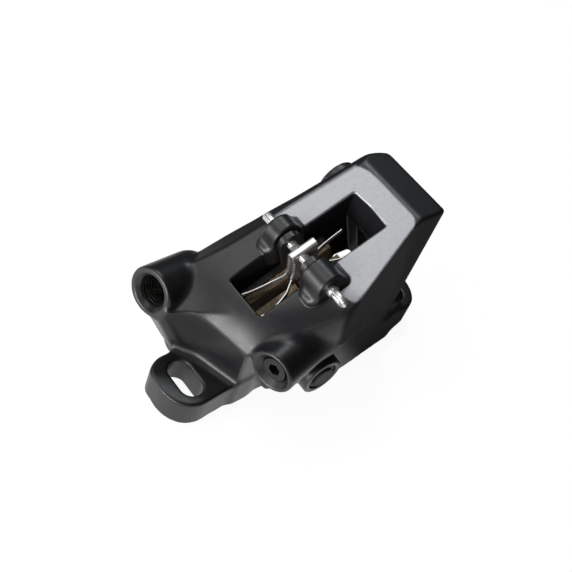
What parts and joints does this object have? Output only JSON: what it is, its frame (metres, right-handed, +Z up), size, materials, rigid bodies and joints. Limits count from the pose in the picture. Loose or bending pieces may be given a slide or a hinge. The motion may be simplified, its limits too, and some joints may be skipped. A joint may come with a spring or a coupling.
{
  "type": "bicycle disc brake caliper",
  "caption": "One-piece post-mount hydraulic disc brake caliper with slotted ears, a pitched open-topped body, opposed pistons, pads on a split pin and hose, bleed and side ports.",
  "frame": {"origin": "on the mounting plane under the ears, midway between the centres of the two bolt slots", "axes": "+X from ear to ear towards the high end block, +Y across the rotor towards the far side with the bore caps, +Z up along the mounting bolts"},
  "size_m": [0.089, 0.0493, 0.0534],
  "materials": {
    "body": "black anodised, fine satin",
    "plate": "stamped steel, darkened",
    "lining": "pressed friction material with metal grains",
    "bright_steel": "bright steel",
    "piston": "ceramic piston, matt",
    "seal": "rubber",
    "cap": "black anodised",
    "screw": "blackened steel",
    "seat": "turned brass"
  },
  "bodies": {
    "caliper": {"caliper_body": "body", "seal_near_left": "seal", "seal_near_right": "seal", "seal_far_left": "seal", "seal_far_right": "seal", "bore_cap_left": "cap", "bore_cap_right": "cap", "side_seat": "screw", "passage_plug": "screw", "hose_seat": "seat", "pad_spring": "bright_steel"},
    "pad_near": {"plate_near": "plate", "lining_near": "lining"},
    "pad_far": {"plate_far": "plate", "lining_far": "lining"},
    "piston_nl": {"piston_near_left": "piston"},
    "piston_nr": {"piston_near_right": "piston"},
    "piston_fl": {"piston_far_left": "piston"},
    "piston_fr": {"piston_far_right": "piston"},
    "pin": {"split_pin": "bright_steel"},
    "bleed": {"bleed_screw": "screw", "bleed_ring": "seal"},
    "cap": {"side_cap": "seal"}
  },
  "joints": [
    {"name": "pad_near_slide", "type": "slide", "parent": "caliper", "child": "pad_near", "axis": [0, 1, 0], "range_m": [0, 0.001], "stiffness_N_per_m": 2000, "deforming": ["pad_spring"]},
    {"name": "pad_far_slide", "type": "slide", "parent": "caliper", "child": "pad_far", "axis": [0, -1, 0], "range_m": [0, 0.001]},
    {"name": "piston_near_left_slide", "type": "slide", "parent": "caliper", "child": "piston_nl", "axis": [0, 1, 0], "range_m": [0, 0.001]},
    {"name": "piston_near_right_slide", "type": "slide", "parent": "caliper", "child": "piston_nr", "axis": [0, 1, 0], "range_m": [0, 0.001]},
    {"name": "piston_far_left_slide", "type": "slide", "parent": "caliper", "child": "piston_fl", "axis": [0, -1, 0], "range_m": [0, 0.001]},
    {"name": "piston_far_right_slide", "type": "slide", "parent": "caliper", "child": "piston_fr", "axis": [0, -1, 0], "range_m": [0, 0.001]},
    {"name": "pin_slide", "type": "slide", "parent": "caliper", "child": "pin", "axis": [0, -1, 0], "range_m": [0, 0.03]},
    {"name": "bleed_turn", "type": "hinge", "parent": "caliper", "child": "bleed", "pos_m": [-0.0274, -0.0166, 0.0251], "axis": [-0.9738, -0.2249, -0.034], "range_deg": [0, 90]},
    {"name": "side_cap_slide", "type": "slide", "parent": "caliper", "child": "cap", "axis": [0, -1, 0], "range_m": [0, 0.008]}
  ],
  "couplings": [
    {"joint": "pad_far_slide", "follows": "pad_near_slide", "ratio": 1},
    {"joint": "piston_near_left_slide", "follows": "pad_near_slide", "ratio": 1},
    {"joint": "piston_near_right_slide", "follows": "pad_near_slide", "ratio": 1},
    {"joint": "piston_far_left_slide", "follows": "pad_near_slide", "ratio": 1},
    {"joint": "piston_far_right_slide", "follows": "pad_near_slide", "ratio": 1}
  ]
}
